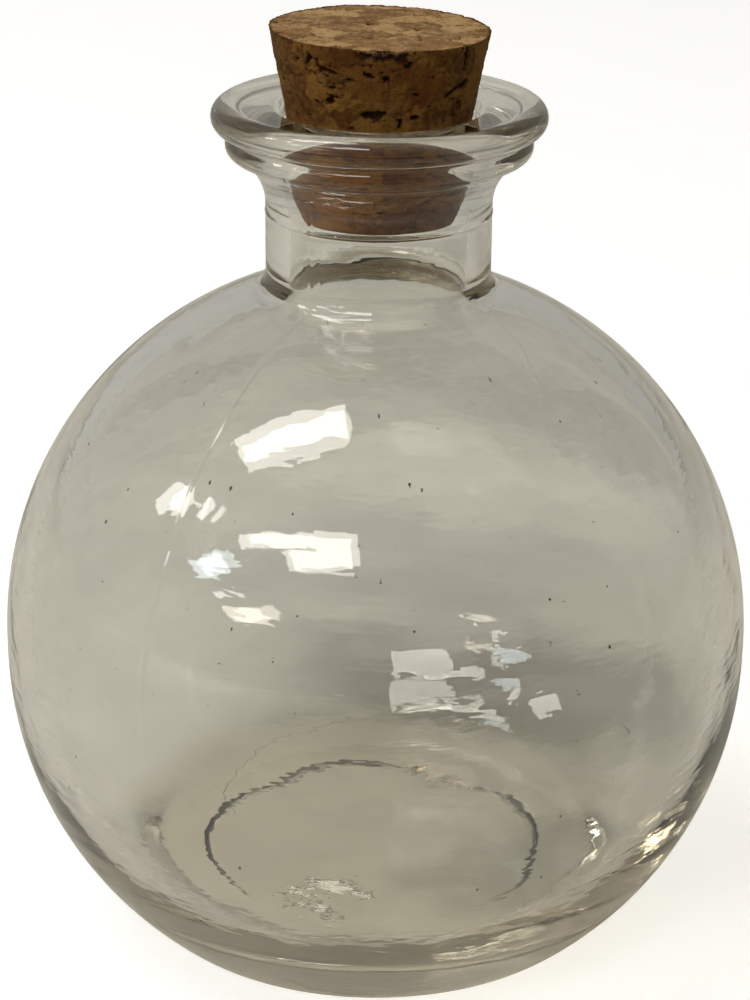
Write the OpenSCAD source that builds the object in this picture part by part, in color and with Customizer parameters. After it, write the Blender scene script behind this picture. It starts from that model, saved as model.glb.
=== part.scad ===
// Ball bottle with a cork: a flat-footed ball of clear glass with a short neck and a turned-out lip,
// closed by a tapered cork. The bottle is one moulded piece of glass and the cork is one pressed piece.
// Millimetres. The origin is the centre of the ring that the bottle stands on, and +Z is the axis, up.

/* [Ball] */
// Outside diameter of the ball
body_d = 87; // [76:0.5:110]
// Height of the straight band between the ball's two halves
waist_h = 1.6; // [0.2:0.2:6]
// Diameter of the flat foot, out to where the heel starts to curve
foot_d = 51.2; // [42:0.2:62]
// Radius of the heel between the foot and the ball
heel_r = 4; // [2:0.5:8]
// Thickness of the ball's wall
wall_t = 3; // [1.5:0.25:4.5]

/* [Base] */
// Thickness of the base, from the standing plane to the inside floor
base_t = 8; // [6.5:0.5:11]
// How far the inside draws in below the waist, which thickens the wall towards the base
draw_in = 4.5; // [0:0.5:8]
// Radius of the inside corner between the floor and the wall
corner_r = 6; // [4:0.5:14]
// Width of the ring that the bottle stands on
rest_w = 4.4; // [2:0.2:8]
// Depth of the domed hollow under the bottle, at its middle
punt_h = 1; // [0.5:0.25:5]

/* [Neck] */
// Diameter of the neck's straight bore
bore_d = 20; // [16:0.5:26]
// Thickness of the neck's wall
neck_t = 2.8; // [2:0.1:4]
// Height from the shoulder to the top of the lip
neck_h = 21.3; // [17:0.1:45]
// Radius of the outside curve where the neck leaves the shoulder
root_r = 3; // [0.5:0.25:5]
// Radius of the inside curve where the bore opens into the ball
throat_r = 4; // [1:0.25:8]

/* [Lip] */
// How far the lip stands out from the neck
lip_out = 6; // [5.4:0.1:9]
// Thickness of the bead around the lip
bead_d = 3.4; // [2.4:0.1:4]
// How far the ring under the bead stands out from the neck
ring_out = 4.45; // [3:0.05:5.2]
// Thickness of the ring under the bead
ring_d = 2.7; // [1.6:0.1:3.4]
// Depth of the groove's middle below the top of the lip
groove_drop = 3.5; // [3.2:0.1:4.4]
// Radius of the cove between the ring and the neck
cove_r = 6.2; // [5:0.1:8]
// How far the shelf inside the bead starts below the bead's top
shelf_drop = 0.4; // [0.2:0.1:0.7]
// How far the shelf's inner edge, at the mouth, lies below the bead's top
lip_dish = 0.8; // [0.7:0.1:1.4]
// Width of the eased edge around the mouth
mouth_ease = 0.6; // [0.2:0.1:1]

/* [Cork] */
// Length of the cork
cork_h = 22.3; // [18:0.1:32]
// How deep the cork sits below the lip's inner edge
cork_in = 12.9; // [8:0.1:15]
// Angle between the cork's side and its axis
cork_angle = 10.4; // [4:0.2:12]
// Depth of the tapered seat inside the mouth
seat_h = 5.5; // [3:0.1:8]
// Gap all round between the cork and its seat
cork_gap = 0.15; // [0.1:0.01:0.3]
// Size of the worn edge around the cork's foot
cork_foot_edge = 1; // [0.3:0.1:2]
// Size of the edge around the cork's top
cork_top_edge = 0.3; // [0.1:0.1:1]

/* [Hidden] */
$fn = 96;

body_r = body_d / 2;
foot_r = foot_d / 2;
bore_r = bore_d / 2;
neck_r = bore_r + neck_t;
inner_r = body_r - wall_t;
bead_r = bead_d / 2;
ring_r = ring_d / 2;

// Centres of the ball's lower and upper halves: the lower one puts the heel on the foot's edge.
lower_z = heel_r + sqrt(pow(body_r - heel_r, 2) - pow(foot_r, 2));
upper_z = lower_z + waist_h;

// The domed hollow starts at the inner edge of the ring that the bottle stands on.
punt_r = foot_r - rest_w;
dome_r = (pow(punt_r, 2) + pow(punt_h, 2)) / (2 * punt_h);

// Heights along the neck.
shoulder_z = upper_z + sqrt(pow(body_r, 2) - pow(neck_r, 2));
lip_z = shoulder_z + neck_h;
mouth_z = lip_z - lip_dish;
groove_z = lip_z - groove_drop;
bead_z = lip_z - bead_r;
ring_z = groove_z - ring_r;

// Centres of the round edges of the lip and of the ring under it, out from the axis.
bead_x = neck_r + lip_out - bead_r;
ring_x = neck_r + ring_out - ring_r;
cove_z = ring_z - ring_r - sqrt(pow(cove_r, 2) - pow(neck_r + cove_r - ring_x, 2));

// The seat widens with the cork's taper, from the straight bore up to the shelf inside the bead.
taper = tan(cork_angle);
seat_r = bore_r + seat_h * taper;
shelf_slope = (lip_dish - shelf_drop) / (bead_x - seat_r);

// The cork fills the seat: its radius meets the bore's, less the gap, at the bottom of the seat.
cork_z = mouth_z - cork_in;
cork_foot_r = bore_r - cork_gap - (cork_in - seat_h) * taper;
cork_top_r = cork_foot_r + cork_h * taper;

// How far a tool that cuts or fills runs past the surface it works on.
over = 1;

// How far a rounding bites into what it blends with, so that the two cross and never only touch.
bite = 0.002;

// Half section of a ball on a flat floor, from the axis out to radius r. Below the waist its side
// curves at lower_r. The floor is at floor_z and its corner is rounded to round_r.
module ball_section(r, lower_r, floor_z, round_r) {
    drop = lower_z - floor_z - round_r;
    flat_r = r - lower_r + sqrt(pow(lower_r - round_r, 2) - pow(drop, 2));
    join_z = lower_z - drop * lower_r / (lower_r - round_r);
    intersection() {
        translate([r - lower_r, lower_z]) circle(lower_r);
        translate([0, join_z]) square([r, upper_z - join_z]);
    }
    intersection() {
        translate([flat_r, floor_z + round_r]) circle(round_r + bite);
        translate([0, floor_z]) square([r, round_r]);
    }
    translate([0, floor_z]) square([flat_r, round_r]);
    translate([0, lower_z]) square([r, waist_h]);
    intersection() {
        translate([0, upper_z]) circle(r);
        translate([0, lower_z]) square([r, r + waist_h]);
    }
}

// Half section of the curve that leads from a ball of radius ball_r into a neck of radius neck_x.
module root_section(ball_r, neck_x, round_r) {
    centre_x = neck_x + round_r;
    rise = sqrt(pow(ball_r + round_r, 2) - pow(centre_x, 2));
    inner = (ball_r - over) / (ball_r + round_r);
    difference() {
        polygon([
            [neck_x - over, upper_z + rise],
            [neck_x - over, upper_z + rise * inner],
            [centre_x * inner, upper_z + rise * inner],
            [centre_x, upper_z + rise]
        ]);
        translate([centre_x, upper_z + rise]) circle(round_r + bite);
    }
}

// Half section of a ball with its neck, which ends at top_z.
module vessel_section(r, lower_r, floor_z, round_r, neck_x, neck_round_r, top_z) {
    ball_section(r, lower_r, floor_z, round_r);
    root_section(r, neck_x, neck_round_r);
    translate([0, upper_z]) square([neck_x, top_z - upper_z]);
}

// Half section of the turned-out lip: the cove, the ring, the groove and the bead.
module lip_section() {
    difference() {
        translate([0, cove_z]) square([ring_x, ring_z - cove_z]);
        translate([neck_r + cove_r, cove_z]) circle(cove_r + bite);
    }
    translate([ring_x, ring_z]) circle(ring_r);
    translate([bead_x, bead_z]) circle(bead_r);
    polygon([
        [0, ring_z],
        [ring_x, ring_z],
        [ring_x, bead_z],
        [bead_x, bead_z],
        [bead_x, lip_z - shelf_drop],
        [seat_r, mouth_z],
        [0, mouth_z]
    ]);
}

// Half section of the mouth: the tapered seat that the cork rests in, and its eased edge.
module mouth_section() {
    ease_r = seat_r + mouth_ease;
    polygon([
        [0, mouth_z - seat_h - over],
        [bore_r, mouth_z - seat_h - over],
        [bore_r, mouth_z - seat_h],
        [seat_r - mouth_ease * taper, mouth_z - mouth_ease],
        [ease_r, mouth_z + mouth_ease * shelf_slope],
        [ease_r, lip_z + over],
        [0, lip_z + over]
    ]);
}

// The bottle: one piece of clear glass.
module glass_bottle() {
    color([0.80, 0.83, 0.78, 0.35])
    rotate_extrude()
    difference() {
        union() {
            vessel_section(body_r, body_r, 0, heel_r, neck_r, root_r, ring_z);
            lip_section();
        }
        vessel_section(
            inner_r, inner_r - draw_in, base_t, corner_r, bore_r, throat_r, mouth_z - seat_h
        );
        mouth_section();
        intersection() {
            translate([0, punt_h - dome_r]) circle(dome_r);
            translate([0, -over]) square([foot_r, punt_h + over]);
        }
    }
}

// The cork: one tapered piece, narrow end down.
module cork_stopper() {
    top_z = cork_z + cork_h;
    color([0.66, 0.47, 0.29])
    rotate_extrude()
    polygon([
        [0, cork_z],
        [cork_foot_r - cork_foot_edge, cork_z],
        [cork_foot_r + cork_foot_edge * taper, cork_z + cork_foot_edge],
        [cork_top_r - cork_top_edge * taper, top_z - cork_top_edge],
        [cork_top_r - cork_top_edge, top_z],
        [0, top_z]
    ]);
}

glass_bottle();
cork_stopper();
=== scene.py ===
"""Visual model of a ball bottle closed by a cork: the glass, the cork and a plain stage."""

import math

import bpy
from bpy.props import FloatProperty, FloatVectorProperty, IntProperty, PointerProperty
from bpy.types import Operator, Panel, PropertyGroup
from mathutils import Matrix, Vector


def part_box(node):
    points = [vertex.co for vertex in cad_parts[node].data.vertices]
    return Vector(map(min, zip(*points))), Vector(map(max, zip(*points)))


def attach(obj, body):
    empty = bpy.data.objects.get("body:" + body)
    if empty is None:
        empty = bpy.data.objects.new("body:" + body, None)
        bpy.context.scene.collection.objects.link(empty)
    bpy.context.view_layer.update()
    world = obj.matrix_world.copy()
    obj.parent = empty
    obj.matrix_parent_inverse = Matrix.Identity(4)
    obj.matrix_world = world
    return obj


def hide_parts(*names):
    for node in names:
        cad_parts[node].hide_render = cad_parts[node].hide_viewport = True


bl_info = {
    "name": "Ball bottle with a cork",
    "version": (1, 0, 0),
    "blender": (4, 5, 0),
    "location": "3D View > Sidebar > Bottle",
    "description": "Models a ball bottle of clear glass with a tapered cork, on a plain stage",
    "category": "Object",
}

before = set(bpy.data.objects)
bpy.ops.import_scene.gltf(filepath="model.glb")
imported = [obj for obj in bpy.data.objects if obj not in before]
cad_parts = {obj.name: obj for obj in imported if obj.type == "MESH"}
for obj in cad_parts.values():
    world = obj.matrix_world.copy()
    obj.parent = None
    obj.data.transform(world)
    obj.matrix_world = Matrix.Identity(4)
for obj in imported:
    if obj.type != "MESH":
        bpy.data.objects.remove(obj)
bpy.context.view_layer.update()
GLASS_LOW, GLASS_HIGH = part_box("glass_bottle")
CORK_LOW, CORK_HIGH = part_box("cork_stopper")

MM = 0.001
MERGE_DISTANCE = 0.0000005


def number(name, description, default, **settings):
    """A property for a number that is not negative."""
    return FloatProperty(
        name=name, description=description, default=default, min=0.0, **settings
    )


def length(name, description, default):
    """A length property, in metres."""
    return number(name, description, default, unit="LENGTH", precision=5)


def degrees(name, description, default):
    """An angle property, given in degrees."""
    return number(name, description, math.radians(default), subtype="ANGLE")


def colour(name, description, default):
    """A colour property, in linear red, green and blue."""
    return FloatVectorProperty(
        name=name,
        description=description,
        default=default,
        min=0.0,
        max=1.0,
        size=3,
        subtype="COLOR",
    )


class GlassSettings(PropertyGroup):
    ball_radius: length("Ball radius", "Outside radius of the ball", GLASS_HIGH.x)
    height: length("Height", "Height of the top of the lip above the foot", GLASS_HIGH.z)
    waist: length("Waist", "Height of the straight band between the halves", 1.6 * MM)
    foot_radius: length("Foot radius", "Radius of the flat foot", 25.6 * MM)
    heel_radius: length("Heel radius", "Radius of the curve around the foot", 4.0 * MM)
    wall: length("Wall", "Thickness of the ball's wall", 3.0 * MM)
    base: length("Base", "Thickness of the base", 8.0 * MM)
    draw_in: length("Draw in", "How far the inside draws in below the waist", 4.5 * MM)
    corner_radius: length("Corner radius", "Radius of the inside corner", 6.0 * MM)
    rest_width: length("Rest width", "Width of the ring that it stands on", 4.4 * MM)
    punt_depth: length("Punt depth", "Depth of the domed hollow underneath", 1.0 * MM)
    punt_step: length("Punt step", "Height of the step round the hollow", 0.85 * MM)
    bore: length("Bore", "Radius of the neck's bore", 10.0 * MM)
    neck_wall: length("Neck wall", "Thickness of the neck's wall", 2.8 * MM)
    root_radius: length("Root radius", "Outside curve from shoulder to neck", 3.0 * MM)
    throat_radius: length("Throat radius", "Inside curve from ball to bore", 4.0 * MM)
    lip_width: length("Lip width", "How far the lip stands out from the neck", 6.0 * MM)
    bead_radius: length("Bead radius", "Radius of the bead round the lip", 1.7 * MM)
    ring_width: length("Ring width", "How far the ring stands out", 4.45 * MM)
    ring_radius: length("Ring radius", "Radius of the ring under the bead", 1.35 * MM)
    ring_drop: length("Ring drop", "Ring's centre below the top of the lip", 4.85 * MM)
    cove_radius: length("Cove radius", "Radius of the cove under the ring", 6.2 * MM)
    cove_ease: length("Cove ease", "Radius between the cove and the ring", 0.6 * MM)
    groove_ease: length("Groove ease", "Radius of the groove under the bead", 0.35 * MM)
    shelf_drop: length("Shelf drop", "Start of the shelf below the bead's top", 0.4 * MM)
    dish: length("Dish", "Depth of the mouth's edge below the lip", 0.8 * MM)
    mouth_ease: length("Mouth ease", "Width of the eased edge of the mouth", 0.6 * MM)
    seat_depth: length("Seat depth", "Depth of the tapered seat in the mouth", 5.5 * MM)
    seat_angle: degrees("Seat angle", "Angle between the seat and the axis", 10.4)
    parting_drop: length("Parting drop", "Parting line below the lip", 12.45 * MM)
    parting_width: length("Parting width", "Width of the parting line's ridge", 0.3 * MM)
    parting_rise: length("Parting rise", "Height of the parting line's ridge", 0.07 * MM)
    seam_width: length("Seam width", "Width of the mould seam", 0.3 * MM)
    seam_rise: length("Seam rise", "Height of the mould seam", 0.03 * MM)
    seam_turn: degrees("Seam turn", "Angle of the mould seam from the front, to the left", 35.7)
    turns: IntProperty(
        name="Turns",
        description="Steps round the axis",
        default=208,
        min=48,
        max=400,
    )
    wave: length("Wave", "Depth of the soft waves on the outside", 0.08 * MM)
    inner_wave: length("Inner wave", "Depth of the waves on the inside", 0.25 * MM)
    tint: colour("Tint", "Colour that thick glass takes on", (0.80, 0.765, 0.69))
    tint_density: number("Tint density", "How fast thick glass is tinted, per metre", 42.0)


class CorkSettings(PropertyGroup):
    low: length("Foot height", "Height of the cork's foot", CORK_LOW.z)
    high: length("Top height", "Height of the cork's top", CORK_HIGH.z)
    top_radius: length("Top radius", "Radius of the cork's top", CORK_HIGH.x)
    angle: degrees("Side angle", "Angle between the cork's side and its axis", 10.4)
    foot_edge: length("Foot edge", "Size of the worn edge round the foot", 1.0 * MM)
    top_edge: length("Top edge", "Size of the edge round the top", 0.25 * MM)
    top_tilt: degrees("Top tilt", "Slope of the cut top, down to the right", 1.4)
    mesh_size: length("Mesh size", "Size of the cork's mesh faces", 0.18 * MM)
    granule: length("Granule", "Usual size of a cork granule", 3.6 * MM)
    crack_depth: length("Crack depth", "Depth between two granules", 0.10 * MM)
    pit_depth: length("Pit depth", "Depth of the holes", 0.7 * MM)
    pale: colour("Pale cork", "Colour of the palest granules", (0.45, 0.285, 0.13))
    dark: colour("Dark cork", "Colour of the darkest granules", (0.18, 0.095, 0.036))
    red: colour("Red cork", "Colour of the reddest granules", (0.20, 0.082, 0.025))
    crack: colour("Crack", "Colour between granules", (0.075, 0.026, 0.008))
    freckle: colour("Freckles", "How much darker the finest marks are", (0.42, 0.30, 0.20))
    bark: colour("Bark", "Colour of bark and of the holes", (0.030, 0.010, 0.005))
    # Painted shade: the cork's tapered side is made darker than its top, standing in for the shade
    # that falls on it under light from above.
    side_painted_shade: colour("Side shade", "How much darker the worn side is", (0.42, 0.32, 0.15))
    # Painted shade: darkens the cork inside the neck, most in blue, to offset the haze that the
    # neck's glass reflects over it.
    neck_painted_shade: colour("Pressed shade", "How warm it looks in the neck", (1.0, 0.80, 0.42))


class StageSettings(PropertyGroup):
    aim_height: length("Aim height", "Height that the view is set from", 34.88 * MM)
    camera_back: length("Camera back", "Camera's distance in front", 301.2 * MM)
    camera_shift: length("Camera shift", "Camera's distance to the left", 0.15 * MM)
    camera_rise: length("Camera rise", "Camera's height over the aim", 135.5 * MM)
    camera_dip: degrees("Camera dip", "How far the camera looks down", 21.64)
    camera_roll: degrees("Camera roll", "How far the camera leans to the left", 0.45)
    lens: number("Lens", "Focal length, in millimetres on a 36 mm sensor", 99.7)
    floor_radius: length("Floor radius", "Radius of the floor", 4.0)
    floor_gap: length("Floor gap", "Gap that keeps the floor off the foot", 0.02 * MM)
    floor_white: colour("Floor", "Floor as the camera sees it", (0.93, 0.93, 0.95))
    floor_grey: colour("Floor in glass", "Floor as glass shows it", (0.65, 0.625, 0.565))
    panel_glow: number("Panel glow", "Radiance of the ceiling panels", 9.0)
    panel_height: length("Panel height", "Height of the panels over the aim", 1.6)


# Building shapes


def set_mode(mode):
    """Goes into edit mode or object mode."""
    bpy.ops.object.mode_set(mode=mode)


def deselect_all():
    """Leaves nothing selected, in object mode."""
    if bpy.context.object and bpy.context.object.mode != "OBJECT":
        set_mode("OBJECT")
    bpy.ops.object.select_all(action="DESELECT")


class Pen:
    """Draws a half section in the XZ plane in edit mode, as one chain of points."""

    def __init__(self, name, x, z):
        deselect_all()
        bpy.ops.mesh.primitive_plane_add(size=MM)
        self.piece = bpy.context.object
        self.piece.name = name
        self.piece.data.name = name
        set_mode("EDIT")
        bpy.ops.mesh.merge(type="CENTER")
        bpy.ops.transform.translate(value=(x, 0, z))
        self.place = Vector((x, z))

    def line(self, x, z, step):
        """Draws a straight line to (x, z) in parts of about one step."""
        way = Vector((x, z)) - self.place
        parts = max(1, round(way.length / step))
        move = (way.x / parts, 0, way.y / parts)
        for _ in range(parts):
            bpy.ops.mesh.extrude_region_move(TRANSFORM_OT_translate={"value": move})
        self.place = Vector((x, z))

    def arc(self, centre, end, step, clockwise=False):
        """Sweeps round a centre until the point lies in the direction of end, seen from it."""
        start = self.place - centre
        turn = math.atan2(end.y, end.x) - math.atan2(start.y, start.x)
        turn = turn % math.tau
        if clockwise:
            turn -= math.tau
        parts = max(2, round(abs(turn) * start.length / step))
        bpy.ops.mesh.spin(
            steps=parts, angle=turn, center=(centre.x, 0, centre.y), axis=(0, 1, 0)
        )
        self.place = centre + Matrix.Rotation(turn, 2) @ start

    def eased_corner(self, corner, after, radius, step, arc_step):
        """Draws a line to a corner, rounds it and ends where the line to the next point starts."""
        back = (self.place - corner).normalized()
        onward = (after - corner).normalized()
        half = math.acos(max(-1.0, min(1.0, back.dot(onward)))) / 2
        reach = radius / math.tan(half)
        start = corner + back * reach
        centre = corner + (back + onward).normalized() * (radius / math.sin(half))
        self.line(start.x, start.y, step)
        turns_right = back.x * onward.y - back.y * onward.x > 0
        self.arc(centre, corner + onward * reach - centre, arc_step, turns_right)


def meet(first, first_reach, second, second_reach, to_left=False):
    """The point at given distances from two centres, beside the way from first to second."""
    way = second - first
    gap = way.length
    along = (first_reach**2 - second_reach**2 + gap**2) / (2 * gap)
    aside = math.sqrt(first_reach**2 - along**2)
    way.normalize()
    right = Vector((way.y, -way.x))
    return first + way * along + right * (-aside if to_left else aside)


def tangent_neck(ball_centre, ball_radius, neck_radius, curve):
    """Centre of the curve that leads from a ball into a neck."""
    rise = math.sqrt((ball_radius + curve) ** 2 - (neck_radius + curve) ** 2)
    return Vector((neck_radius + curve, ball_centre.y + rise))


RIGHT = Vector((1, 0))
LEFT = Vector((-1, 0))
UP = Vector((0, 1))
DOWN = Vector((0, -1))

# Lengths of mesh faces along a section, and the share of the hollow's step that is eased.
COARSE = 0.95 * MM
MIDDLE = 0.5 * MM
FINE = 0.22 * MM
EASE_SHARE = 0.15


def ball_centres(s):
    """Centres of the ball's lower and upper halves."""
    reach = s.ball_radius - s.heel_radius
    low = s.heel_radius + math.sqrt(reach**2 - s.foot_radius**2)
    return Vector((0, low)), Vector((0, low + s.waist))


def draw_outside(pen, s):
    """Foot, heel, ball, neck, cove and ring, up to the bead's outer side."""
    lower, upper = ball_centres(s)
    rest = s.foot_radius - s.rest_width
    step_in = rest - s.punt_step
    sag = s.punt_depth - s.punt_step
    dome_radius = (step_in**2 + sag**2) / (2 * sag)
    dome = Vector((0, s.punt_depth - dome_radius))
    ease = s.punt_step / 4
    edge = Vector((step_in - ease, s.punt_step))
    pen.arc(dome, edge - dome, MIDDLE, clockwise=True)
    pen.line(step_in, s.punt_step, FINE)
    pen.line(step_in + ease, s.punt_step * (1 - EASE_SHARE), FINE)
    pen.line(rest - ease, s.punt_step * EASE_SHARE, FINE)
    pen.line(rest, 0, FINE)
    pen.line(s.foot_radius, 0, MIDDLE)

    heel = Vector((s.foot_radius, s.heel_radius))
    pen.arc(heel, heel - lower, FINE)
    pen.arc(lower, RIGHT, COARSE)
    pen.line(s.ball_radius, upper.y, COARSE)

    neck_radius = s.bore + s.neck_wall
    root = tangent_neck(upper, s.ball_radius, neck_radius, s.root_radius)
    pen.arc(upper, root - upper, COARSE)
    pen.arc(root, LEFT, FINE, clockwise=True)

    parting = s.height - s.parting_drop
    half = s.parting_width / 2
    pen.line(neck_radius, parting - half, MIDDLE)
    pen.line(neck_radius + s.parting_rise, parting - half / 3, FINE)
    pen.line(neck_radius + s.parting_rise, parting + half / 3, FINE)
    pen.line(neck_radius, parting + half, FINE)

    ring = Vector((neck_radius + s.ring_width - s.ring_radius, s.height - s.ring_drop))
    across = neck_radius + s.cove_radius - ring.x
    cove_rise = math.sqrt(s.cove_radius**2 - across**2)
    cove = Vector((neck_radius + s.cove_radius, ring.y - s.ring_radius - cove_rise))
    cove_reach = s.cove_radius - s.cove_ease
    cove_ease = meet(cove, cove_reach, ring, s.ring_radius + s.cove_ease, to_left=True)
    pen.line(neck_radius, cove.y, MIDDLE)
    pen.arc(cove, cove_ease - cove, MIDDLE, clockwise=True)
    pen.arc(cove_ease, ring - cove_ease, FINE, clockwise=True)

    bead = bead_centre(s)
    groove = meet(ring, s.ring_radius + s.groove_ease, bead, s.bead_radius + s.groove_ease)
    pen.arc(ring, groove - ring, FINE)
    pen.arc(groove, bead - groove, FINE, clockwise=True)


def bead_centre(s):
    """Centre of the bead's round section."""
    out = s.bore + s.neck_wall + s.lip_width - s.bead_radius
    return Vector((out, s.height - s.bead_radius))


def draw_inside(pen, s):
    """Bead, shelf, mouth, bore, throat, inner ball and floor, down to the axis."""
    lower, upper = ball_centres(s)
    bead = bead_centre(s)
    mouth = s.height - s.dish
    taper = math.tan(s.seat_angle)
    seat = s.bore + s.seat_depth * taper
    shelf_slope = (s.dish - s.shelf_drop) / (bead.x - seat)
    shelf = Vector((bead.x, s.height - s.shelf_drop))
    inward = Vector((-1, -shelf_slope)).normalized()
    offset = shelf - bead
    along = -offset.dot(inward)
    crease = shelf + inward * (
        along + math.sqrt(along**2 + s.bead_radius**2 - offset.length_squared)
    )
    pen.arc(bead, crease - bead, FINE)

    ease = Vector((seat + s.mouth_ease, mouth + s.mouth_ease * shelf_slope))
    seat_top = Vector((seat - s.mouth_ease * taper, mouth - s.mouth_ease))
    bore_top = Vector((s.bore, mouth - s.seat_depth))
    pen.eased_corner(ease, seat_top, s.mouth_ease, MIDDLE, FINE)
    pen.eased_corner(seat_top, bore_top, s.mouth_ease, FINE, FINE)
    pen.line(bore_top.x, bore_top.y, MIDDLE)

    inner_radius = s.ball_radius - s.wall
    throat = tangent_neck(upper, inner_radius, s.bore, s.throat_radius)
    pen.line(s.bore, throat.y, MIDDLE)
    pen.arc(throat, upper - throat, MIDDLE)
    pen.arc(upper, RIGHT, COARSE, clockwise=True)
    pen.line(inner_radius, lower.y, COARSE)

    bowl = Vector((s.draw_in, lower.y))
    drop = lower.y - s.base - s.corner_radius
    reach = inner_radius - s.draw_in - s.corner_radius
    flat = bowl.x + math.sqrt(reach**2 - drop**2)
    corner = Vector((flat, s.base + s.corner_radius))
    pen.arc(bowl, corner - bowl, COARSE, clockwise=True)
    pen.arc(corner, DOWN, COARSE, clockwise=True)
    pen.line(0, s.base, COARSE)


def is_outside(place, s):
    """True for a point of the glass's outer surface."""
    lower, upper = ball_centres(s)
    across = math.hypot(place.x, place.y)
    if place.z < s.base / 2:
        return True
    if place.z > s.height - s.parting_drop - 2 * s.waist:
        return across > s.bore + s.neck_wall / 2
    middle = lower.y if place.z < lower.y else min(place.z, upper.y)
    return math.hypot(across, place.z - middle) > s.ball_radius - s.wall / 2


def cut_seam(piece, s):
    """Cuts the mould seam into the outer neck and shoulder and raises it."""
    side = Vector((math.cos(s.seam_turn), -math.sin(s.seam_turn), 0))
    for shift in (-s.seam_width / 2, 0, s.seam_width / 2):
        bpy.ops.mesh.select_all(action="SELECT")
        bpy.ops.mesh.bisect(plane_co=side * shift, plane_no=side)
    bpy.ops.mesh.select_all(action="DESELECT")
    set_mode("OBJECT")
    top = s.height - s.ring_drop
    bottom = ball_centres(s)[1].y
    for vertex in piece.data.vertices:
        place = vertex.co
        on_seam = abs(place.dot(side)) < s.seam_width / 10
        vertex.select = on_seam and bottom < place.z < top and is_outside(place, s)
    set_mode("EDIT")
    bpy.ops.transform.shrink_fatten(value=s.seam_rise)
    set_mode("OBJECT")


def weigh(piece, name, share):
    """Makes a vertex group whose weights come from each vertex's place."""
    group = piece.vertex_groups.new(name=name)
    for vertex in piece.data.vertices:
        weight = share(vertex.co)
        if weight > 0:
            group.add([vertex.index], weight, "REPLACE")


def push(piece, name, group, pattern_size, depth, middle, detail=0):
    """Waves that a cloud pattern pushes into a surface, applied to the mesh."""
    pattern = bpy.data.textures.new(name, "CLOUDS")
    pattern.noise_scale = pattern_size
    pattern.noise_depth = detail
    modifier = piece.modifiers.new(name, "DISPLACE")
    modifier.texture = pattern
    modifier.vertex_group = group
    modifier.strength = depth
    modifier.mid_level = middle
    bpy.ops.object.modifier_apply(modifier=name)
    bpy.data.textures.remove(pattern)


def fade(value, start, end):
    """0 at start and before, 1 at end and after, and smooth between them."""
    share = max(0.0, min(1.0, (value - start) / (end - start)))
    return share * share * (3 - 2 * share)


def add_waves(piece, s):
    """Soft unevenness of moulded glass: shallow outside, deeper inside."""
    seat_low = s.height - s.dish - s.seat_depth

    def outside(place):
        return is_outside(place, s) * fade(place.z, s.heel_radius / 4, s.heel_radius)

    def hollow(place):
        across = math.hypot(place.x, place.y)
        rim = s.foot_radius - s.rest_width - s.punt_step
        return (place.z < s.base / 2) * fade(across, rim, rim - s.punt_step)

    def inside(place):
        if is_outside(place, s):
            return 0.0
        return 1.0 - fade(place.z, seat_low - s.parting_drop / 2, seat_low)

    weigh(piece, "outer_face", outside)
    weigh(piece, "inner_face", inside)
    weigh(piece, "hollow_face", hollow)
    push(piece, "outer_waves", "outer_face", 26 * MM, s.wave, 1.0)
    push(piece, "inner_waves", "inner_face", 21 * MM, s.inner_wave, 0.5, detail=1)
    push(piece, "inner_ripples", "inner_face", 6 * MM, s.inner_wave / 9, 0.5)
    push(piece, "hollow_waves", "hollow_face", 7 * MM, s.inner_wave, 1.0, detail=1)
    piece.vertex_groups.clear()


def finish_piece(piece, body, node, material):
    """Gives a piece its finish and its body, and hides the CAD node that it stands for."""
    piece.data.materials.clear()
    piece.data.materials.append(material)
    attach(piece, body)
    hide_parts(node)


def close_shape(angle):
    """Merges doubled points, turns faces outwards and smooths the shading up to an angle."""
    set_mode("EDIT")
    bpy.ops.mesh.select_all(action="SELECT")
    bpy.ops.mesh.remove_doubles(threshold=MERGE_DISTANCE)
    bpy.ops.mesh.normals_make_consistent(inside=False)
    set_mode("OBJECT")
    bpy.ops.object.shade_smooth_by_angle(angle=angle)


# Materials


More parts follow.
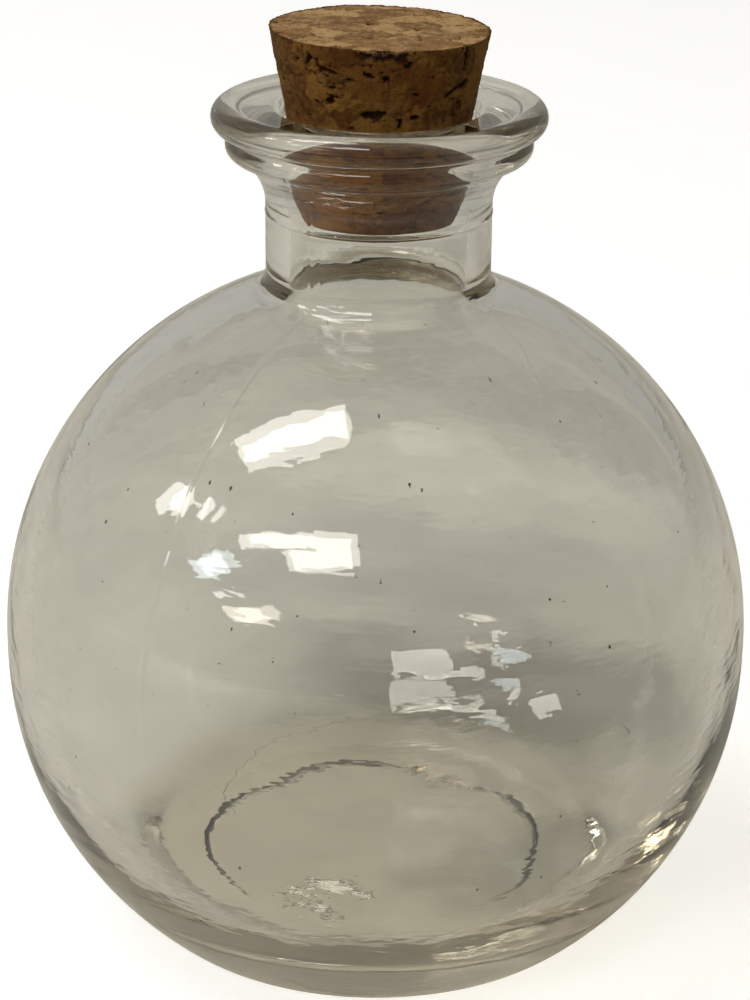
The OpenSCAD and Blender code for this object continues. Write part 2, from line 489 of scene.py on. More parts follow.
class Graph:
    """Adds nodes to a node tree and joins them."""

    def __init__(self, tree):
        self.tree = tree

    def add(self, kind, inputs=None, **settings):
        """A new node. An input is given a value, or a socket that feeds it."""
        node = self.tree.nodes.new(kind)
        for name, value in settings.items():
            setattr(node, name, value)
        for key, value in (inputs or {}).items():
            if isinstance(value, bpy.types.NodeSocket):
                self.tree.links.new(value, node.inputs[key])
            else:
                node.inputs[key].default_value = value
        return node

    def math(self, operation, first, second=0.0, third=0.0):
        """The value of one sum."""
        inputs = {0: first, 1: second, 2: third}
        return self.add("ShaderNodeMath", inputs, operation=operation).outputs[0]

    def vector(self, operation, *values, output=0):
        """What one vector sum gives."""
        inputs = dict(enumerate(values))
        node = self.add("ShaderNodeVectorMath", inputs, operation=operation)
        return node.outputs[output]

    def measure(self, operation, *values):
        """The number that one vector sum gives, such as a length."""
        return self.vector(operation, *values, output="Value")

    def scale(self, vector, share):
        """A vector times a number."""
        inputs = {0: vector, "Scale": share}
        return self.add("ShaderNodeVectorMath", inputs, operation="SCALE").outputs[0]

    def fade(self, value, start, end, low=0.0, high=1.0):
        """A value that goes smoothly from low at start to high at end."""
        inputs = {
            "Value": value,
            "From Min": start,
            "From Max": end,
            "To Min": low,
            "To Max": high,
        }
        node = self.add("ShaderNodeMapRange", inputs, interpolation_type="SMOOTHSTEP")
        return node.outputs["Result"]

    def blend(self, share, first, second, kind="MIX"):
        """A mix of two colours."""
        inputs = {0: share, 6: first, 7: second}
        node = self.add("ShaderNodeMix", inputs, data_type="RGBA", blend_type=kind)
        return node.outputs[2]

    def per(self, size):
        """One over a size, which is a number or a socket."""
        if isinstance(size, bpy.types.NodeSocket):
            return self.math("DIVIDE", 1.0, size)
        return 1.0 / size

    def noise(self, place, size, detail=2.0, roughness=0.5, output="Fac"):
        """Cloudy noise whose features are about one size wide."""
        inputs = {
            "Vector": place,
            "Scale": self.per(size),
            "Detail": detail,
            "Roughness": roughness,
        }
        return self.add("ShaderNodeTexNoise", inputs).outputs[output]

    def cells(self, place, size, **settings):
        """The outputs of a pattern of cells about one size wide."""
        inputs = {"Vector": place, "Scale": self.per(size)}
        return self.add("ShaderNodeTexVoronoi", inputs, **settings).outputs

    def split(self, vector):
        """The X, Y and Z of a vector."""
        return self.add("ShaderNodeSeparateXYZ", {0: vector}).outputs

    def warp(self, place, clouds, reach):
        """A place that cloudy colour pushes about, by up to half of reach each way."""
        shift = self.vector("SUBTRACT", clouds, (0.5, 0.5, 0.5))
        return self.vector("MULTIPLY_ADD", shift, reach, place)

    def by_ray(self, kind, others, chosen):
        """One shader for rays of a kind, and another for all others."""
        rays = self.add("ShaderNodeLightPath")
        inputs = {0: rays.outputs[kind], 1: others.outputs[0], 2: chosen.outputs[0]}
        return self.add("ShaderNodeMixShader", inputs).outputs[0]

    def link(self, value, socket):
        """Feeds a socket."""
        self.tree.links.new(value, socket)


def new_graph(owner):
    """The emptied node tree of a material or a world, ready to fill."""
    owner.use_nodes = True
    owner.node_tree.nodes.clear()
    return Graph(owner.node_tree)


def rgba(values):
    """A colour with full alpha."""
    return (*values, 1.0)


def new_group(name, inputs, outputs, kind="ShaderNodeTree"):
    """A node group with named sockets: its tree, its graph, what it is given and what it gives."""
    tree = bpy.data.node_groups.new(name, kind)
    for label, socket_type, default in inputs:
        socket = tree.interface.new_socket(label, in_out="INPUT", socket_type=socket_type)
        if default is not None:
            socket.default_value = default
    for label, socket_type in outputs:
        tree.interface.new_socket(label, in_out="OUTPUT", socket_type=socket_type)
    graph = Graph(tree)
    start = graph.add("NodeGroupInput")
    end = graph.add("NodeGroupOutput")
    return tree, graph, start.outputs, end.inputs


FLOAT = "NodeSocketFloat"
VECTOR = "NodeSocketVector"

# Height of the ball's middle, and how far the specks of the inner and the outer skin are shifted
# apart for each unit between them.
BALL_MIDDLE = 35 * MM
SKIN_SHIFT = 9.0


def specks_group():
    """Tiny dark specks scattered thinly over a round piece."""
    tree, graph, given, result = new_group(
        "dust_specks",
        [
            ("Place", VECTOR, None),
            ("Spacing", FLOAT, 8 * MM),
            ("Size", FLOAT, 0.1 * MM),
            ("Share", FLOAT, 0.3),
        ],
        [("Mask", FLOAT)],
    )
    parts = graph.split(given["Place"])
    angle = graph.math("ARCTAN2", parts["Y"], parts["X"])
    middle = (0.0, 0.0, BALL_MIDDLE)
    from_middle = graph.measure("DISTANCE", given["Place"], middle)
    round_way = graph.math("MULTIPLY", angle, GLASS_HIGH.x)
    round_way = graph.math("MULTIPLY_ADD", from_middle, SKIN_SHIFT, round_way)
    flat = graph.add(
        "ShaderNodeCombineXYZ", {"X": round_way, "Y": parts["Z"], "Z": 0.0}
    ).outputs[0]
    spacing = given["Spacing"]
    cells = graph.cells(flat, spacing, voronoi_dimensions="2D")
    pick = graph.add("ShaderNodeSeparateColor", {0: cells["Color"]})
    ragged = graph.noise(flat, 0.25 * MM, 2.0)
    reach = graph.math("MULTIPLY", cells["Distance"], spacing)
    size = graph.math("MULTIPLY", given["Size"], pick.outputs["Green"])
    near = graph.math("LESS_THAN", graph.math("MULTIPLY", reach, ragged), size)
    chosen = graph.math("LESS_THAN", pick.outputs["Red"], given["Share"])
    graph.link(graph.math("MULTIPLY", near, chosen), result["Mask"])
    return tree


def scratches_group():
    """Fine broken hairline scratches in a patchy area."""
    tree, graph, given, result = new_group(
        "hairline_scratches",
        [
            ("Place", VECTOR, None),
            ("Spacing", FLOAT, 5 * MM),
            ("Width", FLOAT, 0.03 * MM),
            ("Cover", FLOAT, 0.36),
        ],
        [("Mask", FLOAT)],
    )
    place = given["Place"]
    spacing = given["Spacing"]
    edges = graph.cells(place, spacing, feature="DISTANCE_TO_EDGE")
    reach = graph.math("MULTIPLY", edges["Distance"], spacing)
    share = graph.math("DIVIDE", reach, given["Width"])
    line = graph.math("MAXIMUM", graph.math("SUBTRACT", 1.0, share), 0.0)
    patch = graph.noise(place, 2.5 * MM, 2.0)
    seen = graph.math("LESS_THAN", patch, given["Cover"])
    graph.link(graph.math("MULTIPLY", line, seen), result["Mask"])
    return tree


def ripples_group():
    """Heights of the faint ripples in the skin of moulded glass, in units of RIPPLE_DEPTH."""
    tree, graph, given, result = new_group(
        "glass_ripples",
        [
            ("Place", VECTOR, None),
            ("Long", FLOAT, 5.0 * MM),
            ("Short", FLOAT, 0.9 * MM),
            ("Long share", FLOAT, 12.0),
            ("Short share", FLOAT, 3.2),
        ],
        [("Height", FLOAT)],
    )
    place = given["Place"]
    level = graph.vector("MULTIPLY", place, (0.3, 0.3, 1.0))
    wide = graph.noise(place, given["Long"], 0.0)
    small = graph.noise(level, given["Short"], 1.0)
    height = graph.math("MULTIPLY", small, given["Short share"])
    height = graph.math("MULTIPLY_ADD", wide, given["Long share"], height)
    graph.link(height, result["Height"])
    return tree


# The wrinkled patch under the base: its middle, its half size, the way it slopes down, and how far
# out along that way the middle lies.
CHILL_MIDDLE = (-5.7 * MM, -14.6 * MM, 0.0)
CHILL_SIZE = (5.0 * MM, 4.4 * MM)
CHILL_WAY = (-0.41, -0.91, 0.0)
CHILL_OUT = 16.1 * MM


def chill_group():
    """Heights of a wrinkled patch under the base, where the glass met a cold mould, in metres."""
    tree, graph, given, result = new_group(
        "chill_marks",
        [
            ("Place", VECTOR, None),
            ("Slope", FLOAT, -0.32),
            ("Top", FLOAT, 2 * MM),
        ],
        [("Height", FLOAT)],
    )
    place = given["Place"]
    stretched = graph.vector("MULTIPLY", place, (0.55, 1.0, 1.0))
    clouds = graph.noise(stretched, 2.4 * MM, 3.0, 0.6, "Color")
    warped = graph.warp(place, clouds, (11.0 * MM, 9.0 * MM, 0.0))
    from_middle = graph.vector("SUBTRACT", warped, CHILL_MIDDLE)
    shrink = (1 / CHILL_SIZE[0], 1 / CHILL_SIZE[1], 0.0)
    reach = graph.measure("LENGTH", graph.vector("MULTIPLY", from_middle, shrink))
    patch = graph.fade(reach, 1.0, 0.8)
    level = graph.vector("MULTIPLY", place, (0.35, 1.2, 1.0))
    folds = graph.fade(graph.noise(level, 1.6 * MM, 2.0), 0.42, 0.50)
    patch = graph.math("MULTIPLY", patch, folds)
    under = graph.math("LESS_THAN", graph.split(place)["Z"], given["Top"])
    outward = graph.measure("DOT_PRODUCT", place, CHILL_WAY)
    outward = graph.math("SUBTRACT", outward, CHILL_OUT)
    height = graph.math("MULTIPLY", outward, given["Slope"])
    height = graph.math("MULTIPLY", height, graph.math("MULTIPLY", patch, under))
    graph.link(height, result["Height"])
    return tree


RIPPLE_DEPTH = 0.004 * MM
BARE_GLASS = (0.985, 0.99, 0.98, 1.0)
HAZY_GLASS = (0.93, 0.93, 0.91, 1.0)
DUST = (0.02, 0.018, 0.015, 1.0)
GLASS_SHADOW = (0.78, 0.77, 0.73, 1.0)
POLISH = 0.004
SCRATCH_ROUGHNESS = 0.15


def glass_material(s):
    """Clear moulded glass with a faint olive tint, ripples, hairlines and specks of dust."""
    material = bpy.data.materials.new("clear_moulded_glass")
    graph = new_graph(material)
    place = graph.add("ShaderNodeTexCoord").outputs["Object"]
    specks, scratches, ripples, chill = (
        graph.add("ShaderNodeGroup", node_tree=make())
        for make in (specks_group, scratches_group, ripples_group, chill_group)
    )
    for group in (specks, scratches, ripples, chill):
        graph.link(place, group.inputs["Place"])

    scratch = scratches.outputs["Mask"]
    scratched = graph.blend(scratch, BARE_GLASS, HAZY_GLASS)
    shown = graph.blend(specks.outputs["Mask"], scratched, DUST)
    roughness = graph.math("MULTIPLY_ADD", scratch, SCRATCH_ROUGHNESS, POLISH)
    height = graph.math(
        "MULTIPLY_ADD", ripples.outputs["Height"], RIPPLE_DEPTH, chill.outputs["Height"]
    )
    bump = graph.add("ShaderNodeBump", {"Height": height, "Distance": 1.0, "Strength": 1.0})
    glass = graph.add(
        "ShaderNodeBsdfPrincipled",
        {
            "Base Color": shown,
            "Roughness": roughness,
            "IOR": 1.5,
            "Transmission Weight": 1.0,
            "Normal": bump.outputs["Normal"],
        },
    )
    shade = graph.add("ShaderNodeBsdfTransparent", {"Color": GLASS_SHADOW})
    tint = {"Color": rgba(s.tint), "Density": s.tint_density}
    thick = graph.add("ShaderNodeVolumeAbsorption", tint)
    surface = graph.by_ray("Is Shadow Ray", glass, shade)
    ends = {"Surface": surface, "Volume": thick.outputs[0]}
    graph.add("ShaderNodeOutputMaterial", ends)
    return material


# Cork


def cork_layout(graph, place, s):
    """How granules lie in the cork: each one's random colour, its edge and the warped place."""
    clouds = graph.noise(place, 2.2 * MM, 5.0, 0.68, "Color")
    warped = graph.warp(place, clouds, (4.2 * MM,) * 3)
    flattened = graph.vector("MULTIPLY", warped, (0.75, 1.0, 1.25))
    cells = graph.cells(flattened, s.granule)
    edges = graph.cells(flattened, s.granule, feature="DISTANCE_TO_EDGE")
    return cells["Color"], edges["Distance"], warped


# Marks on the cork's front, from its top centre: right, down, half width, half height, turn.
CORK_HOLES = [
    (-0.7, 7.9, 1.25, 0.42, 4),
    (-5.5, 6.6, 0.50, 0.32, 20),
    (8.4, 5.6, 1.45, 0.22, 32),
    (9.5, 5.2, 0.55, 0.30, 60),
    (9.6, 1.9, 0.22, 1.00, -8),
    (-5.9, 3.1, 1.05, 0.20, -14),
    (-5.2, 5.0, 0.45, 0.16, 10),
    (-1.2, 3.4, 0.80, 0.20, -25),
    (3.9, 8.3, 0.40, 0.25, 0),
    (-7.9, 2.2, 0.25, 0.60, -20),
]
CORK_BARK = [(0.4, 0.95, 2.9, 0.75, 2), (2.2, 1.5, 1.2, 0.5, -20)]
CORK_RED = [(2.0, 3.1, 4.0, 1.3, -6), (5.2, 5.2, 2.2, 1.8, 30)]


def cork_marks(graph, place, marks, ragged, s):
    """1 inside any of the marks, fading to 0 around them, on the front of the cork only."""
    total = 0.0
    for right, down, half_width, half_height, turn in marks:
        centre = (right * MM, 0.0, s.high - down * MM)
        offset = graph.vector("SUBTRACT", place, centre)
        turned = graph.add(
            "ShaderNodeVectorRotate",
            {"Vector": offset, "Angle": math.radians(turn)},
            rotation_type="Y_AXIS",
        ).outputs[0]
        size = (1 / (half_width * MM), 0.0, 1 / (half_height * MM))
        reach = graph.measure("LENGTH", graph.vector("MULTIPLY", turned, size))
        mark = graph.fade(graph.math("ADD", reach, ragged), 1.25, 0.85)
        total = graph.math("MAXIMUM", mark, total)
    in_front = graph.math("LESS_THAN", graph.split(place)["Y"], 0.0)
    shown = graph.math("MULTIPLY", in_front, cork_side(graph, place, s))
    return graph.math("MULTIPLY", total, shown)


def cork_side(graph, place, s):
    """1 on the cork's tapered side, and 0 from just inside its top and foot."""
    across = graph.measure("LENGTH", graph.vector("MULTIPLY", place, (1.0, 1.0, 0.0)))
    below = graph.math("SUBTRACT", s.high, graph.split(place)["Z"])
    reach = graph.math("MULTIPLY_ADD", below, math.tan(s.angle), across)
    return graph.fade(reach, s.top_radius - 0.75 * MM, s.top_radius - 0.35 * MM)


def cork_pits(graph, place, edge, s):
    """Small holes and level slits, mostly where granules meet, from 0 to 1 at the bottom."""
    level = graph.vector("MULTIPLY", place, (0.5, 0.8, 1.2))
    crumbs = graph.noise(level, 0.8 * MM, 2.0, 0.6)
    patches = graph.noise(place, 2.6 * MM, 1.0, 0.5)
    near_edge = graph.fade(edge, 0.16, 0.0)
    total = graph.math("MULTIPLY_ADD", near_edge, 0.10, crumbs)
    total = graph.math("MULTIPLY_ADD", patches, 0.35, total)
    return graph.fade(total, 0.86, 0.94)


def cork_relief(s):
    """A geometry node group that carves granules, cracks and holes into the cork."""
    geometry = "NodeSocketGeometry"
    tree, graph, given, result = new_group(
        "cork_relief",
        [("Geometry", geometry, None)],
        [("Geometry", geometry)],
        "GeometryNodeTree",
    )
    place = graph.add("GeometryNodeInputPosition").outputs[0]
    normal = graph.add("GeometryNodeInputNormal").outputs[0]
    cells, edge, _ = cork_layout(graph, place, s)
    ragged = graph.noise(place, 0.9 * MM, 3.0, 0.6)
    ragged = graph.math("MULTIPLY_ADD", ragged, 2.2, -1.1)
    holes = cork_marks(graph, place, CORK_HOLES, ragged, s)
    hole = graph.math("MAXIMUM", cork_pits(graph, place, edge, s), holes)
    bark = cork_marks(graph, place, CORK_BARK, ragged, s)
    red = cork_marks(graph, place, CORK_RED, ragged, s)

    crack = graph.fade(edge, 0.07, 0.0)
    patches = graph.fade(graph.noise(place, 1.6 * MM, 2.0), 0.50, 0.60)
    crack = graph.math("MULTIPLY", crack, patches)
    level = graph.split(cells)["X"]
    crumbs = graph.noise(place, 0.7 * MM, 3.0, 0.6)
    bulge = graph.noise(place, 4.5 * MM, 1.0)
    rim = graph.fade(graph.split(place)["Z"], s.high - 1.2 * MM, s.high - 0.3 * MM)
    rim = graph.math("MULTIPLY", rim, cork_side(graph, place, s))
    chips = graph.fade(graph.noise(place, 1.0 * MM, 2.0), 0.5, 0.72)
    chips = graph.math("MULTIPLY", chips, rim)
    depth = graph.math("MULTIPLY", crack, s.crack_depth)
    for part, deepest in (
        (hole, s.pit_depth),
        (bark, 0.35 * MM),
        (level, 0.08 * MM),
        (crumbs, 0.22 * MM),
        (bulge, 0.30 * MM),
        (chips, 0.35 * MM),
    ):
        depth = graph.math("MULTIPLY_ADD", part, deepest, depth)
    offset = graph.scale(normal, graph.math("MULTIPLY", depth, -1.0))

    stored = given[0]
    for name, value, kind in (
        ("rest_place", place, "FLOAT_VECTOR"),
        ("hole", hole, "FLOAT"),
        ("bark", bark, "FLOAT"),
        ("red_flake", red, "FLOAT"),
    ):
        store = graph.add(
            "GeometryNodeStoreNamedAttribute",
            {"Geometry": stored, "Name": name},
            data_type=kind,
            domain="POINT",
        )
        graph.link(value, store.inputs["Value"])
        stored = store.outputs[0]
    moved = graph.add("GeometryNodeSetPosition", {"Geometry": stored, "Offset": offset})
    graph.link(moved.outputs[0], result[0])
    return tree


def cork_material(s):
    """Pressed cork: granules of several browns, each with its own grain, bark and dark holes, with
    painted shade on its side and inside the neck.
    """
    material = bpy.data.materials.new("pressed_cork")
    graph = new_graph(material)

    def stored(name, output="Fac"):
        node = graph.add(
            "ShaderNodeAttribute", attribute_name=name, attribute_type="GEOMETRY"
        )
        return node.outputs[output]

    place = stored("rest_place", "Vector")
    cells, edge, warped = cork_layout(graph, place, s)
    picks = graph.add("ShaderNodeSeparateColor", {0: cells})
    side = cork_side(graph, place, s)

    lean = graph.vector("SUBTRACT", cells, (0.5,) * 3)
    lean = graph.vector("MULTIPLY", lean, (3.4, 3.0, 2.6))
    turned = graph.add(
        "ShaderNodeVectorRotate",
        {"Vector": warped, "Rotation": lean},
        rotation_type="EULER_XYZ",
    ).outputs[0]
    stretched = graph.vector("MULTIPLY", turned, (0.18, 1.0, 1.0))
    grain = graph.noise(stretched, 0.6 * MM, 4.0, 0.6)
    mottle = graph.noise(place, 1.5 * MM, 6.0, 0.7)
    fine = graph.noise(graph.vector("MULTIPLY", place, (0.6, 1.0, 1.0)), 0.35 * MM, 3.0, 0.7)

    share = graph.math("MULTIPLY_ADD", grain, 0.75, graph.math("MULTIPLY", mottle, 1.0))
    share = graph.math("MULTIPLY_ADD", picks.outputs["Red"], 0.34, share)
    share = graph.fade(share, 0.82, 1.24)
    ground = graph.blend(share, rgba(s.dark), rgba(s.pale))
    reddish = graph.math("MULTIPLY", picks.outputs["Green"], picks.outputs["Blue"])
    reddish = graph.fade(reddish, 0.4, 0.8, 0.0, 0.5)
    reddish = graph.math("MAXIMUM", reddish, graph.math("MULTIPLY", stored("red_flake"), 0.6))
    ground = graph.blend(reddish, ground, rgba(s.red))
    patches = graph.fade(graph.noise(place, 1.6 * MM, 2.0), 0.50, 0.62)
    crack = graph.math("MULTIPLY", graph.fade(edge, 0.06, 0.0, 0.0, 0.75), patches)
    ground = graph.blend(crack, ground, rgba(s.crack))
    freckle = graph.fade(fine, 0.55, 0.68, 0.0, 0.75)
    ground = graph.blend(freckle, ground, rgba(s.freckle), "MULTIPLY")
    # Painted shade: the tapered side is darkened as if in shade under light from above.
    ground = graph.blend(side, ground, rgba(s.side_painted_shade), "MULTIPLY")
    # Painted shade: the cork inside the neck is darkened and warmed to offset the haze that the
    # glass reflects over it.
    height = graph.split(place)["Z"]
    pressed = graph.fade(height, s.high - 9.2 * MM, s.high - 10.4 * MM)
    ground = graph.blend(pressed, ground, rgba(s.neck_painted_shade), "MULTIPLY")
    dark = graph.math("MAXIMUM", graph.fade(stored("hole"), 0.1, 0.6), stored("bark"))
    ground = graph.blend(dark, ground, rgba(s.bark))
    bump = graph.add(
        "ShaderNodeBump",
        {
            "Height": graph.math("MULTIPLY_ADD", grain, 0.8, fine),
            "Distance": 0.09 * MM,
            "Strength": 0.9,
        },
    )
    surface = graph.add(
        "ShaderNodeBsdfPrincipled",
        {
            "Base Color": ground,
            "Roughness": graph.fade(share, 0.0, 1.0, 0.72, 0.88),
            "Specular IOR Level": 0.1,
            "Normal": bump.outputs["Normal"],
        },
    )
    graph.add("ShaderNodeOutputMaterial", {"Surface": surface.outputs[0]})
    return material


def select_rim(piece, height, tolerance):
    """Selects the edges of the level rim at a height."""
    bpy.ops.mesh.select_all(action="DESELECT")
    set_mode("OBJECT")
    for edge in piece.data.edges:
        ends = [piece.data.vertices[i].co for i in edge.vertices]
        edge.select = all(abs(end.z - height) < tolerance for end in ends)
    set_mode("EDIT")


class BOTTLE_OT_glass(Operator):
    """Model the bottle: one closed shell of clear moulded glass"""

    bl_idname = "ball_bottle.make_glass"
    bl_label = "Make the glass bottle"

    def execute(self, context):
        s = context.scene.bottle_glass
        pen = Pen("bottle_glass", 0.0, s.punt_depth)
        draw_outside(pen, s)
        draw_inside(pen, s)
        bpy.ops.mesh.select_all(action="SELECT")
        bpy.ops.mesh.spin(steps=s.turns, angle=math.tau, center=(0, 0, 0), axis=(0, 0, 1))
        bpy.ops.mesh.select_all(action="SELECT")
        bpy.ops.mesh.remove_doubles(threshold=MERGE_DISTANCE)
        cut_seam(pen.piece, s)
        add_waves(pen.piece, s)
        close_shape(math.radians(40))
        finish_piece(pen.piece, "bottle", "glass_bottle", glass_material(s))
        return {"FINISHED"}


class BOTTLE_OT_cork(Operator):
    """Model the cork: one tapered piece pressed from cork granules"""

    bl_idname = "ball_bottle.make_cork"
    bl_label = "Make the cork"

    def execute(self, context):
        s = context.scene.bottle_cork
        height = s.high - s.low
        foot_radius = s.top_radius - height * math.tan(s.angle)
        deselect_all()
        bpy.ops.mesh.primitive_cone_add(
            vertices=128,
            radius1=foot_radius,
            radius2=s.top_radius,
            depth=height,
            location=(0, 0, s.low + height / 2),
        )
        piece = context.object
        piece.name = "cork"
        piece.data.name = "cork"
        bpy.ops.object.transform_apply(location=True)
        set_mode("EDIT")
        select_rim(piece, s.low, s.top_edge)
        bpy.ops.mesh.bevel(offset=s.foot_edge, segments=5, affect="EDGES")
        select_rim(piece, s.high, s.top_edge)
        bpy.ops.mesh.bevel(offset=s.top_edge, segments=3, affect="EDGES")
        bpy.ops.mesh.select_all(action="DESELECT")
        set_mode("OBJECT")
        for vertex in piece.data.vertices:
            vertex.select = vertex.co.z > s.high - 2 * s.foot_edge
        set_mode("EDIT")
        drop = s.top_radius * math.sin(s.top_tilt)
        bpy.ops.transform.rotate(
            value=-s.top_tilt,
            orient_axis="Y",
            center_override=(0, 0, s.high),
        )
        bpy.ops.transform.translate(value=(0, 0, -drop))
        set_mode("OBJECT")

        remesh = piece.modifiers.new("even_mesh", "REMESH")
        remesh.mode = "VOXEL"
        remesh.voxel_size = s.mesh_size
        bpy.ops.object.modifier_apply(modifier=remesh.name)
        relief = piece.modifiers.new("relief", "NODES")
        relief.node_group = cork_relief(s)
        bpy.ops.object.modifier_apply(modifier=relief.name)
        bpy.ops.object.shade_smooth()
        finish_piece(piece, "cork", "cork_stopper", cork_material(s))
        return {"FINISHED"}


# Stage


# Each panel's place to the right and back, its size across and deep, its turn and its colour.
PANEL_WHITE = (1.0, 0.985, 0.93)
PANELS = [
    ("overhead_panel", (-0.71, -0.13), (0.98, 0.33), 0, PANEL_WHITE),
    ("front_strip", (-0.96, -1.40), (1.50, 0.24), -9, PANEL_WHITE),
    ("front_panel", (-0.72, -1.80), (1.00, 0.45), -3, PANEL_WHITE),
    ("left_panel", (-2.50, -0.12), (0.85, 0.35), -8, PANEL_WHITE),
    ("left_strip", (-1.92, -0.60), (0.40, 0.15), 15, PANEL_WHITE),
    ("cool_panel", (-2.75, -1.60), (1.00, 0.50), 0, (0.80, 0.93, 1.0)),
    ("far_small_panel", (-3.05, -2.47), (0.45, 0.33), 0, PANEL_WHITE),
    ("far_wide_panel", (-3.10, -3.60), (1.30, 0.80), 0, (1.0, 0.93, 0.82)),
]

# Painted soft shadows and glows on the grey floor that glass shows: right, back, half width, half
# depth, share of light kept.
PAINTED_FLOOR_POOLS = [
    (0.026, 0.048, 0.060, 0.040, 0.50),
    (0.020, 0.103, 0.070, 0.032, 0.86),
    (0.000, 0.000, 0.040, 0.034, 0.86),
    (0.024, -0.006, 0.020, 0.022, 0.62),
    (0.100, 0.230, 0.160, 0.070, 0.78),
    (-0.06, 0.300, 0.200, 0.060, 0.85),
    (0.000, 0.155, 0.080, 0.022, 1.10),
    (0.000, -0.360, 0.700, 0.280, 0.30),
]


def painted_floor_pools(graph, place):
    """How much light the grey floor keeps: soft shadows and glows like a room's."""
    clouds = graph.noise(place, 0.030, 3.0, 0.5, "Color")
    warped = graph.warp(place, clouds, (0.05, 0.05, 0.0))
    kept = graph.fade(graph.noise(place, 0.022, 2.0), 0.3, 0.7, 0.93, 1.05)
    for right, back, half_width, half_depth, share in PAINTED_FLOOR_POOLS:
        offset = graph.vector("SUBTRACT", warped, (right, back, 0.0))
        size = (1 / half_width, 1 / half_depth, 0.0)
        reach = graph.measure("LENGTH", graph.vector("MULTIPLY", offset, size))
        pool = graph.fade(reach, 1.0, 0.3, 1.0, share)
        kept = graph.math("MULTIPLY", kept, pool)
    return kept


FLOOR_GLOW = 0.35


def floor_material(s):
    """A plain pale floor: near white to the camera and a softer grey in glass, with painted
    shadows and glows.
    """
    material = bpy.data.materials.new("pale_floor")
    graph = new_graph(material)
    white = graph.add("ShaderNodeBsdfDiffuse", {"Color": rgba(s.floor_white)})
    glow = {"Color": rgba(s.floor_white), "Strength": FLOOR_GLOW}
    lift = graph.add("ShaderNodeEmission", glow)
    bright = graph.add("ShaderNodeAddShader", {0: white.outputs[0], 1: lift.outputs[0]})
    place = graph.add("ShaderNodeTexCoord").outputs["Object"]
    # Painted shadows and glows darken and lighten the grey floor that glass shows.
    kept = graph.scale(s.floor_grey, painted_floor_pools(graph, place))
    grey = graph.add("ShaderNodeBsdfDiffuse", {"Color": kept})
    surface = graph.by_ray("Is Camera Ray", grey, bright)
    graph.add("ShaderNodeOutputMaterial", {"Surface": surface})
    return material


# What glass sees around it: to the left, to the right, in front and overhead.
WALL_LEFT = (0.50, 0.49, 0.45, 1.0)
WALL_RIGHT = (0.38, 0.37, 0.335, 1.0)
WALL_FRONT = (0.15, 0.146, 0.135, 1.0)
CEILING = (0.36, 0.355, 0.33, 1.0)
BACKDROP = (0.99, 0.99, 0.99, 1.0)


def studio_world(scene):
    """Soft light, dim in front, and a near white backdrop that only the camera sees."""
    world = bpy.data.worlds.new("studio")
    scene.world = world
    graph = new_graph(world)
    way = graph.split(graph.add("ShaderNodeTexCoord").outputs["Generated"])
    room = graph.blend(graph.fade(way["X"], -0.9, 0.9), WALL_LEFT, WALL_RIGHT)
    room = graph.blend(graph.fade(way["Y"], 0.1, -0.8), room, WALL_FRONT)
    room = graph.blend(graph.fade(way["Z"], 0.1, 0.9), room, CEILING)
    soft = graph.add("ShaderNodeBackground", {"Color": room})
    white = graph.add("ShaderNodeBackground", {"Color": BACKDROP})
    surface = graph.by_ray("Is Camera Ray", soft, white)
    graph.add("ShaderNodeOutputWorld", {"Surface": surface})


# Thick glass needs many bounces, and each reflection inside it counts as a glossy one.
GLASS_BOUNCES = 28
INNER_REFLECTIONS = 20


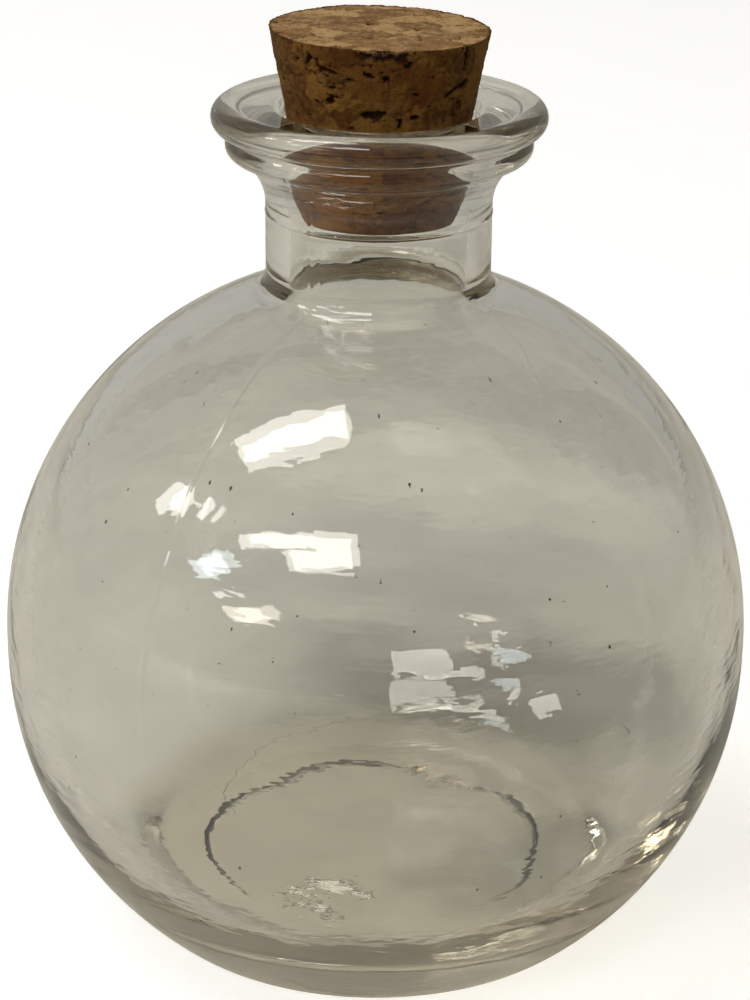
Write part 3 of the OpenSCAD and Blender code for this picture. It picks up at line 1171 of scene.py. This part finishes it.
class BOTTLE_OT_stage(Operator):
    """Set the stage: a plain pale floor, soft ceiling panels, the world and the camera"""

    bl_idname = "ball_bottle.make_stage"
    bl_label = "Make the stage"

    def execute(self, context):
        s = context.scene.bottle_stage
        scene = context.scene
        deselect_all()
        bpy.ops.mesh.primitive_circle_add(
            vertices=128,
            radius=s.floor_radius,
            fill_type="NGON",
            location=(0, 0, -s.floor_gap),
        )
        floor = context.object
        floor.name = "floor"
        floor.data.materials.append(floor_material(s))

        for name, place, size, turn, shade in PANELS:
            bpy.ops.object.light_add(
                type="AREA",
                location=(*place, s.aim_height + s.panel_height),
                rotation=(0, 0, math.radians(turn)),
            )
            panel = context.object
            panel.name = name
            panel.data.shape = "RECTANGLE"
            panel.data.size = size[0]
            panel.data.size_y = size[1]
            panel.data.color = shade
            panel.data.energy = s.panel_glow * math.pi * size[0] * size[1]
            panel.visible_camera = False

        studio_world(scene)
        bpy.ops.object.camera_add(
            location=(-s.camera_shift, -s.camera_back, s.aim_height + s.camera_rise)
        )
        camera = context.object
        camera.name = "camera"
        tilt = Matrix.Rotation(math.pi / 2 - s.camera_dip, 3, "X")
        camera.rotation_euler = (tilt @ Matrix.Rotation(s.camera_roll, 3, "Z")).to_euler()
        camera.data.lens = s.lens
        camera.data.clip_start = 0.01
        scene.camera = camera
        scene.view_settings.view_transform = "Standard"
        scene.cycles.max_bounces = GLASS_BOUNCES
        scene.cycles.transmission_bounces = GLASS_BOUNCES
        scene.cycles.glossy_bounces = INNER_REFLECTIONS
        return {"FINISHED"}


class BOTTLE_PT_panel(Panel):
    bl_label = "Ball bottle"
    bl_idname = "BOTTLE_PT_panel"
    bl_space_type = "VIEW_3D"
    bl_region_type = "UI"
    bl_category = "Bottle"

    def draw(self, context):
        groups = (
            (BOTTLE_OT_glass, context.scene.bottle_glass),
            (BOTTLE_OT_cork, context.scene.bottle_cork),
            (BOTTLE_OT_stage, context.scene.bottle_stage),
        )
        for operator, settings in groups:
            box = self.layout.box()
            box.operator(operator.bl_idname)
            for name in settings.bl_rna.properties.keys():
                if name not in {"rna_type", "name"}:
                    box.prop(settings, name)


CLASSES = (
    GlassSettings,
    CorkSettings,
    StageSettings,
    BOTTLE_OT_glass,
    BOTTLE_OT_cork,
    BOTTLE_OT_stage,
    BOTTLE_PT_panel,
)


def register():
    for item in CLASSES:
        bpy.utils.register_class(item)
    bpy.types.Scene.bottle_glass = PointerProperty(type=GlassSettings)
    bpy.types.Scene.bottle_cork = PointerProperty(type=CorkSettings)
    bpy.types.Scene.bottle_stage = PointerProperty(type=StageSettings)


def unregister():
    del bpy.types.Scene.bottle_stage
    del bpy.types.Scene.bottle_cork
    del bpy.types.Scene.bottle_glass
    for item in reversed(CLASSES):
        bpy.utils.unregister_class(item)


def main():
    register()
    bpy.ops.ball_bottle.make_glass()
    bpy.ops.ball_bottle.make_cork()
    bpy.ops.ball_bottle.make_stage()


if __name__ == "__main__":
    main()
